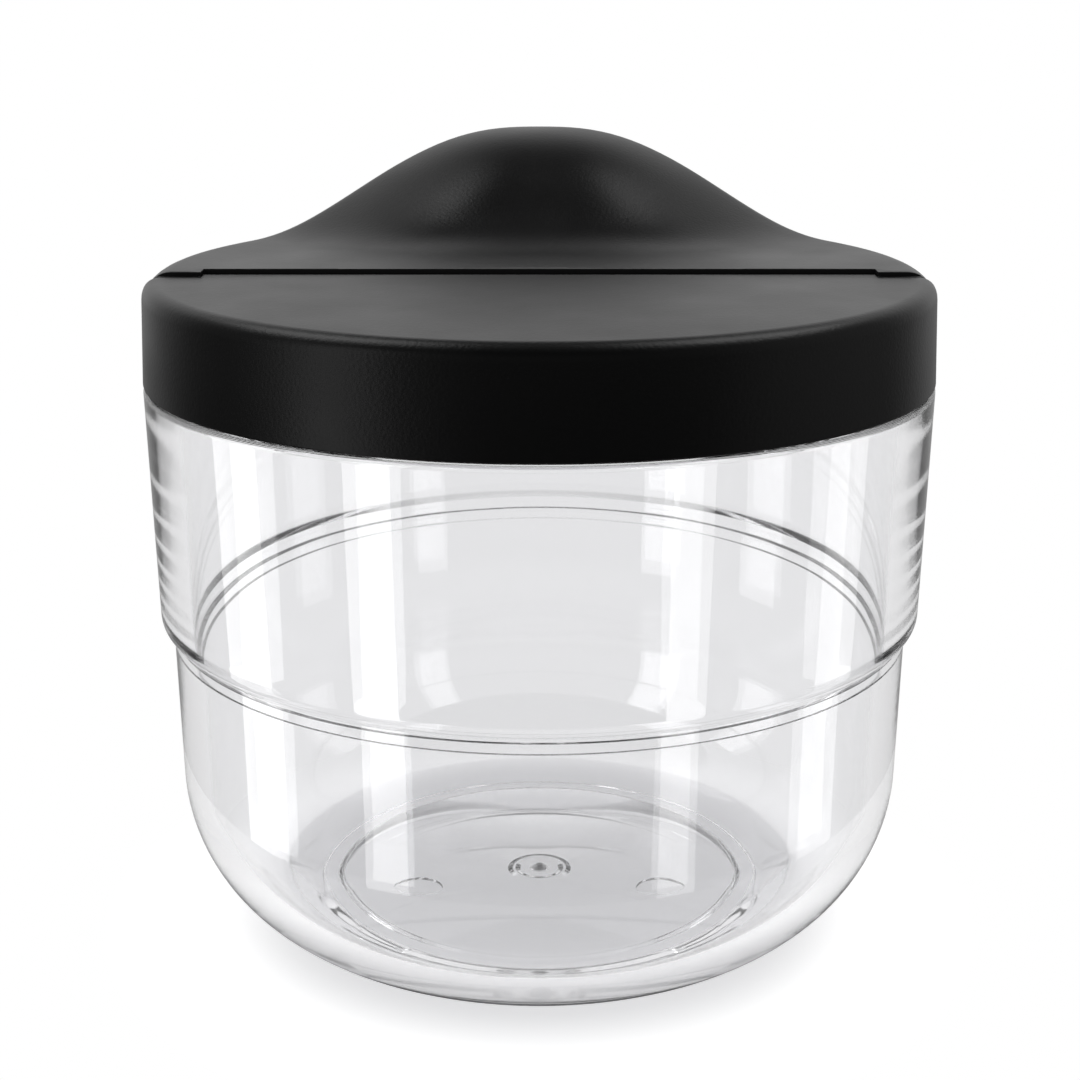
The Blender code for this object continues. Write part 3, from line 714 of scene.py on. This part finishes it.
def flap_form(name, rule, material, wall, edge, low_round):
    """The flap's outside, or the hollow within its walls: a turned blank, shaped by the hump's rule."""
    floor_z = HINGE_Z - 2 * EAR_RADIUS
    top = FLAP_TOP_Z - wall
    hump = hump_section(HUMP_FOOT_ROUND + wall, HUMP_CREST_ROUND - wall)
    crest_r = hump[-1][0]
    outer = RIM_RADIUS - edge
    back_round = outer - crest_r
    blank = [(0, top)] + [(radius, top + rise) for radius, rise in hump]
    blank += arc(crest_r, blank[-1][1] - back_round, back_round, 90, 0, steps=10)[1:]
    blank += [(outer, floor_z), (0, floor_z)]
    return shaped(turned(name, blank), rule, {
        "Flat Top": top, "Floor": floor_z + MM, "Hump Height": HUMP_HEIGHT, "Half Angle": HUMP_HALF_ANGLE,
        "Fullness": HUMP_FULLNESS, "Foot Radius": hump[0][0], "Crest Radius": crest_r, "Rim Radius": outer,
        "Low Rim Round": low_round, "Back Rim Round": back_round, "Material": material,
    })


def make_flap(material):
    """The flap's outer moulding with its hump, front edge and two hinge ears."""
    rule = hump_rule()
    flap = box("flap_moulding", (-FAR, FLAP_FRONT_Y, FLAP_BASE_Z), (FAR, FAR, FAR))
    start = 180 - math.degrees(math.acos(EAR_NOSE / EAR_RADIUS))
    knuckle = arc(HINGE_Y, HINGE_Z, EAR_RADIUS, start, EAR_END_DEGREES, steps=28)
    back_y = FLAP_FRONT_Y + SWING_GAP
    back_z = knuckle[-1][1] + back_y - knuckle[-1][0]
    knuckle += [(back_y, back_z), (back_y, FAR / 2), (knuckle[0][0], FAR / 2)]
    ears = []
    for side, word in SIDES:
        ends = sorted((side * EAR_X, side * BEYOND_FAR))
        ears.append(prism(f"ear_{word}", knuckle, *ends, along="X"))
    flap = boolean(flap, "UNION", *ears)
    flap = boolean(flap, "INTERSECT", flap_form("flap_outside", rule, material, 0, 0, FLAP_RIM_ROUND))
    hollow = flap_form("flap_hollow", rule, material, FLAP_WALL, FLAP_EDGE_WALL, HOLLOW_ROUND)
    front = box("hollow_front", (-FAR, -FAR, 0), (FAR, FLAP_FRONT_Y + FLAP_EDGE_WALL, FAR))
    cuts = [boolean(hollow, "DIFFERENCE", front)]
    for side, word in SIDES:
        ends = sorted((side * (EAR_X - SEAT_GAP), side * EAR_BORE_X))
        cuts.append(hinge_rod(f"ear_bore_{word}", PIN_RADIUS + PIN_GAP, *ends))
    return softened(boolean(flap, "DIFFERENCE", *cuts), MOULDED_EDGE)


def make_flap_base():
    """The flap's under-plate, with the plug that fills the pouring opening."""
    start = math.degrees(math.asin((FLAP_FRONT_Y + FLAP_EDGE_WALL + SEAT_GAP) / base_high.x))
    edge = arc(0, 0, base_high.x, start, 180 - start, steps=96)
    plate = prism("flap_under_plate", edge, FLAP_BASE_Z, base_high.z)
    plug = prism("plug", half_moon(PLUG_INSET), base_low.z, (FLAP_BASE_Z + base_high.z) / 2)
    lip = prism("plug_lip", half_moon(PLUG_INSET - PLUG_LIP), base_low.z, base_low.z + PLUG_LIP_HEIGHT)
    plate = boolean(plate, "UNION", plug, lip)
    hollow = prism("plug_hollow", half_moon(PLUG_INSET + PLUG_WALL), base_low.z + PLUG_WALL, FAR)
    return softened(boolean(plate, "DIFFERENCE", hollow), 1.5 * MOULDED_EDGE, segments=3)


def make_flap_seal():
    """The plug's soft half-moon ring."""
    ring = prism("flap_seal_ring", half_moon(SEAT_GAP), seal_low.z, seal_high.z)
    bore = prism("seal_bore", half_moon(SEAT_GAP + SEAL_THICKNESS), seal_low.z - FAR, seal_high.z + FAR)
    return softened(boolean(ring, "DIFFERENCE", bore), 1.2 * MOULDED_EDGE, segments=3)


def rib_rule():
    """Nodes that set round ribs down a plain sleeve, one pitch apart, and join them to it."""
    tree = bpy.data.node_groups.new("rib_rule", "GeometryNodeTree")
    tree.interface.new_socket("Geometry", in_out="INPUT", socket_type="NodeSocketGeometry")
    tree.interface.new_socket("Ribs", in_out="INPUT", socket_type="NodeSocketInt")
    for name in ("Sleeve Radius", "Rib Round", "Pitch", "First Rib"):
        tree.interface.new_socket(name, in_out="INPUT", socket_type="NodeSocketFloat")
    tree.interface.new_socket("Material", in_out="INPUT", socket_type="NodeSocketMaterial")
    tree.interface.new_socket("Geometry", in_out="OUTPUT", socket_type="NodeSocketGeometry")
    size = add(tree, "NodeGroupInput").outputs
    path = add(tree, "GeometryNodeCurvePrimitiveCircle", {
        "Resolution": TURN_STEPS, "Radius": size["Sleeve Radius"],
    })
    section = add(tree, "GeometryNodeCurvePrimitiveCircle", {
        "Resolution": RIB_FACETS, "Radius": size["Rib Round"],
    })
    rib = add(tree, "GeometryNodeCurveToMesh", {"Curve": path, "Profile Curve": section})
    down = add(tree, "ShaderNodeMath", {0: size["Pitch"], 1: -1.0}, operation="MULTIPLY")
    first = add(tree, "ShaderNodeCombineXYZ", {"Z": size["First Rib"]})
    step = add(tree, "ShaderNodeCombineXYZ", {"Z": down})
    places = add(tree, "GeometryNodeMeshLine", {
        "Count": size["Ribs"], "Start Location": first, "Offset": step,
    })
    ribs = add(tree, "GeometryNodeInstanceOnPoints", {"Points": places, "Instance": rib})
    real = add(tree, "GeometryNodeRealizeInstances", {"Geometry": ribs})
    joined = add(tree, "GeometryNodeMeshBoolean", operation="UNION")
    tree.links.new(size["Geometry"], joined.inputs["Mesh 2"])
    tree.links.new(real.outputs["Geometry"], joined.inputs["Mesh 2"])
    return finished_tree(tree, joined, size["Material"])


def make_gasket(material):
    """The cap's sealing ring: a plain sleeve with soft round ribs that press on the jar's neck."""
    bore = PLUG_RING_RADIUS + SEAT_GAP
    body = bore + GASKET_BODY
    top, bottom = gasket_high.z, gasket_low.z
    pitch = (top - bottom) / GASKET_RIBS
    sleeve = turned("lid_gasket_ring", rounded([
        (bore, top, MOULDED_EDGE),
        (body, top, MOULDED_EDGE),
        (body, bottom, MOULDED_EDGE),
        (bore, bottom, MOULDED_EDGE),
    ], step_degrees=20.0), ring=True)
    return shaped(sleeve, rib_rule(), {
        "Ribs": GASKET_RIBS, "Sleeve Radius": body, "Rib Round": gasket_high.x - body, "Pitch": pitch,
        "First Rib": top - pitch / 2, "Material": material,
    })


# Camera
SENSOR_WIDTH = 36.0
FRAME_PIXELS = 1080
FOCAL_PIXELS = 2000
CENTRE_SHIFT_PIXELS = 0.6
CAMERA_DISTANCE = 302.9 * MM
CAMERA_HEIGHT = 150.64 * MM
CAMERA_PITCH = math.radians(16.39)

# Table, which fades to white with the distance from its middle
TABLE_RADIUS = 0.10
TABLE_DROP = 0.05 * MM
TABLE_FADE_START = 0.044
TABLE_FADE_END = 0.072
PAPER_GLOW = 0.38

# Studio: each start and end is the Y or Z of a direction, between which a level changes
REAR_START, REAR_END = 0.40, 0.95
ROOM_LEVEL, REAR_LEVEL = 0.09, 0.75
CEILING_START, CEILING_END = 0.50, 0.80
CEILING_SHARE = 0.12
GROUND_START, GROUND_END = -0.22, -0.03
GROUND_SHARE = 0.5
THROUGH_START, THROUGH_END = -0.50, 0.25
THROUGH_LEVEL = 0.72

# Lamps, in metres and watts
LAMP_AIM = (0, 0, 0.06)
OVERHEAD_PLACE = (0.48, 0.20, 0.91)
OVERHEAD_SIZE = 0.5
OVERHEAD_POWER = 1.8
TABLE_LIGHT_PLACE = (0, -0.1, 0.9)
TABLE_LIGHT_SIZE = 1.8
TABLE_LIGHT_POWER = 28.0
STRIP_DISTANCE = 0.9
STRIP_HEIGHT = 1.3
STRIP_CENTRE_Z = 0.05

# Strips: a name, the bearing from the front and the spread in degrees, and the radiance
JAR_STRIPS = (
    ("left_front", -47, 14, 3.2),
    ("right_front", 42, 12, 2.3),
    ("left_side", -92, 18, 2.4),
    ("right_side", 94, 16, 1.4),
)
LID_STRIPS = (
    ("left_fill", -57, 22, 0.8),
    ("right_fill", 80, 50, 0.12),
)


def pale_stage():
    """A round white table. To the eye and through the jar it fades into the white behind it.

    Its mirror image in the jar's round corner is greyer, so the corner's edge stands out from the white.
    """
    bpy.ops.mesh.primitive_circle_add(
        vertices=96, radius=TABLE_RADIUS, fill_type="NGON", location=(0, 0, -TABLE_DROP),
    )
    table = bpy.context.object
    table.name = "table"
    material, tree = new_material("white_table")
    path = add(tree, "ShaderNodeLightPath").outputs
    place = add(tree, "ShaderNodeTexCoord").outputs["Object"]
    distance = add(tree, "ShaderNodeVectorMath", {0: place}, operation="LENGTH").outputs["Value"]
    fade = add(tree, "ShaderNodeMapRange", {
        "Value": distance, "From Min": TABLE_FADE_START, "From Max": TABLE_FADE_END,
    }, interpolation_type="SMOOTHSTEP")
    paper = add(tree, "ShaderNodeBsdfDiffuse", {"Color": linear("#f2f2f2")})
    glow = add(tree, "ShaderNodeEmission", {"Color": linear("#ffffff"), "Strength": PAPER_GLOW})
    near = add(tree, "ShaderNodeAddShader", {0: paper, 1: glow})
    white = add(tree, "ShaderNodeEmission", {"Color": linear("#ffffff"), "Strength": 1.0})
    shown = add(tree, "ShaderNodeMixShader", {"Fac": fade, 1: near, 2: white})
    mirrored = add(tree, "ShaderNodeBsdfDiffuse", {"Color": linear("#a8a8a8")})
    unseen = add(tree, "ShaderNodeMixShader", {"Fac": path["Is Glossy Ray"], 1: paper, 2: mirrored})
    looking = add(tree, "ShaderNodeMath", {
        0: path["Is Camera Ray"], 1: path["Is Transmission Ray"],
    }, operation="MAXIMUM")
    seen = add(tree, "ShaderNodeMixShader", {"Fac": looking, 1: unseen, 2: shown})
    add(tree, "ShaderNodeOutputMaterial", {"Surface": seen})
    table.data.materials.append(material)
    return table


def studio_world():
    """A white studio behind the table and a dim room in front of it, as the jar and the lid see them."""
    world = bpy.data.worlds.new("studio")
    bpy.context.scene.world = world
    world.use_nodes = True
    tree = world.node_tree
    tree.nodes.clear()
    path = add(tree, "ShaderNodeLightPath").outputs
    direction = add(tree, "ShaderNodeTexCoord").outputs["Generated"]
    parts = add(tree, "ShaderNodeSeparateXYZ", {"Vector": direction}).outputs

    # What shines on a surface: bright at the rear, dim in front, overhead and below the table
    rear = add(tree, "ShaderNodeMapRange", {
        "Value": parts["Y"], "From Min": REAR_START, "From Max": REAR_END,
        "To Min": ROOM_LEVEL, "To Max": REAR_LEVEL,
    }, interpolation_type="SMOOTHSTEP")
    above = add(tree, "ShaderNodeMapRange", {
        "Value": parts["Z"], "From Min": CEILING_START, "From Max": CEILING_END,
        "To Min": 1.0, "To Max": CEILING_SHARE,
    }, interpolation_type="SMOOTHSTEP")
    below = add(tree, "ShaderNodeMapRange", {
        "Value": parts["Z"], "From Min": GROUND_START, "From Max": GROUND_END,
        "To Min": GROUND_SHARE, "To Max": 1.0,
    })
    upright = add(tree, "ShaderNodeMath", {0: above, 1: below}, operation="MULTIPLY")
    shine = add(tree, "ShaderNodeMath", {0: rear, 1: upright}, operation="MULTIPLY")

    # What shows through the clear jar: white behind it, a little greyer in front
    through = add(tree, "ShaderNodeMapRange", {
        "Value": parts["Y"], "From Min": THROUGH_START, "From Max": THROUGH_END,
        "To Min": THROUGH_LEVEL, "To Max": 1.0,
    }, interpolation_type="SMOOTHSTEP")
    around = add(tree, "ShaderNodeMix", {
        0: path["Is Transmission Ray"], 2: shine, 3: through,
    }, data_type="FLOAT")
    level = add(tree, "ShaderNodeMix", {0: path["Is Camera Ray"], 2: around, 3: 1.0}, data_type="FLOAT")
    back = add(tree, "ShaderNodeBackground", {"Color": linear("#ffffff"), "Strength": level})
    add(tree, "ShaderNodeOutputWorld", {"Surface": back})


def softbox(name, place, aim, width, height, power, lit):
    """A soft rectangular lamp. Flags keep its light off everything but the pieces that are lit."""
    lamp = bpy.data.lights.new(name, "AREA")
    lamp.shape = "RECTANGLE"
    lamp.size = width
    lamp.size_y = height
    lamp.energy = power
    obj = bpy.data.objects.new(name, lamp)
    obj.location = place
    obj.rotation_euler = (Vector(aim) - Vector(place)).to_track_quat("-Z", "Y").to_euler()
    obj.visible_camera = False
    bpy.context.scene.collection.objects.link(obj)
    flagged = bpy.data.collections.new(f"{name}_lights")
    for piece in lit:
        flagged.objects.link(piece)
    obj.light_linking.receiver_collection = flagged


def studio_lamps(jar, lid, table):
    """Soft lamps above for the lid, a wide one for the table, and tall strips that show in the clear wall."""
    x, y, z = OVERHEAD_PLACE
    for side, word in SIDES:
        place = (side * x, y, z)
        softbox(f"{word}_overhead", place, LAMP_AIM, OVERHEAD_SIZE, OVERHEAD_SIZE, OVERHEAD_POWER, lid)
    softbox("table_light", TABLE_LIGHT_PLACE, (0, 0, 0), TABLE_LIGHT_SIZE, TABLE_LIGHT_SIZE,
            TABLE_LIGHT_POWER, [table])
    for name, bearing, spread, radiance in JAR_STRIPS:
        tall_strip(name, bearing, spread, radiance, [jar])
    for name, bearing, spread, radiance in LID_STRIPS:
        tall_strip(name, bearing, spread, radiance, lid)


def tall_strip(name, bearing, spread, radiance, lit):
    """A strip softbox at a bearing from the front, in degrees, that reaches well below the table."""
    width = 2 * STRIP_DISTANCE * math.tan(math.radians(spread / 2))
    angle = math.radians(bearing)
    place = (STRIP_DISTANCE * math.sin(angle), -STRIP_DISTANCE * math.cos(angle), STRIP_CENTRE_Z)
    power = radiance * math.pi * width * STRIP_HEIGHT
    softbox(name, place, (0, 0, STRIP_CENTRE_Z), width, STRIP_HEIGHT, power, lit)


def light_paths():
    """Enough bounces for a clear wall seen through another. The jar's shadow comes from its own shader."""
    cycles = bpy.context.scene.cycles
    cycles.max_bounces = 32
    cycles.glossy_bounces = 16
    cycles.transmission_bounces = 32
    cycles.transparent_max_bounces = 24
    cycles.caustics_reflective = False
    cycles.caustics_refractive = False


def photo_camera():
    """The photograph's camera, found from the jar's outline."""
    camera = bpy.data.cameras.new("photo_camera")
    camera.sensor_width = SENSOR_WIDTH
    camera.lens = SENSOR_WIDTH * FOCAL_PIXELS / FRAME_PIXELS
    camera.shift_x = CENTRE_SHIFT_PIXELS / FRAME_PIXELS
    camera.clip_start = 0.01
    obj = bpy.data.objects.new("photo_camera", camera)
    obj.location = (0, -CAMERA_DISTANCE, CAMERA_HEIGHT)
    obj.rotation_euler = (math.pi / 2 - CAMERA_PITCH, 0, 0)
    bpy.context.scene.collection.objects.link(obj)
    bpy.context.scene.camera = obj


clear = clear_copolyester()
black = black_polypropylene()
dark = dark_polypropylene()
silicone = clear_silicone()
steel = drawn_steel()

jar = dressed(make_jar(), clear, "jar", "jar")
lid = [
    dressed(make_cap(), black, "lid", "lid_cap"),
    dressed(make_gasket(silicone), silicone, "lid", "lid_gasket"),
    dressed(make_flap(black), black, "flap", "flap_shell"),
    dressed(make_flap_base(), dark, "flap", "flap_base"),
    dressed(make_flap_seal(), silicone, "flap", "flap_seal"),
]
for side, word in SIDES:
    pin = frame["nodes"][f"hinge_pin_{word}"]
    for slot in pin.material_slots:
        slot.material = steel
    lid.append(pin)

table = pale_stage()
studio_world()
studio_lamps(jar, lid, table)
light_paths()
photo_camera()
bpy.context.scene.view_settings.view_transform = "Standard"
